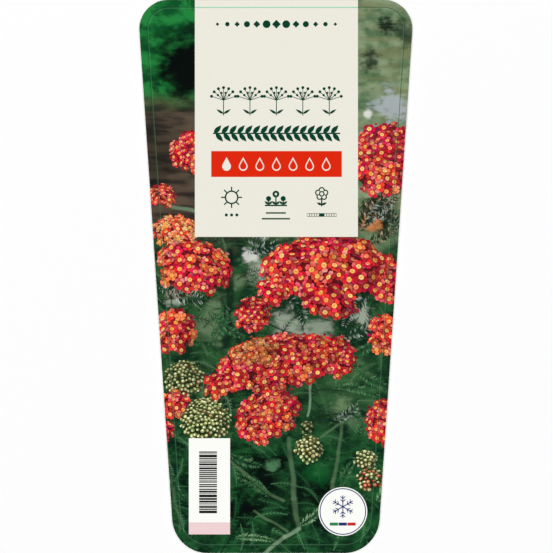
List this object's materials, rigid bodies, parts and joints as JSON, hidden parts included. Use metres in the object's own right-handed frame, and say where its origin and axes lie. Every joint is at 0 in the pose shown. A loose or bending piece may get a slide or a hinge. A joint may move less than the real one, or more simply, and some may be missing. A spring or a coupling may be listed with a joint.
{
  "type": "plant label",
  "caption": "Flat die-cut garden plant label in satin plastic, wide at the top and tapered to a narrow foot, with rounded corners, printed on its front face.",
  "frame": {"origin": "middle of the outline's bounding box on the back face, which lies on the surface", "axes": "+Y from the narrow foot to the wide top, +Z out of the printed face, +X to the right as the print is read"},
  "size_m": [0.1086, 0.22, 0.0005],
  "materials": {
    "label_plastic": "satin white plastic sheet, printed on its front face in full colour under a satin varnish"
  },
  "bodies": {
    "root": {"label_sheet": "label_plastic"}
  },
  "joints": []
}
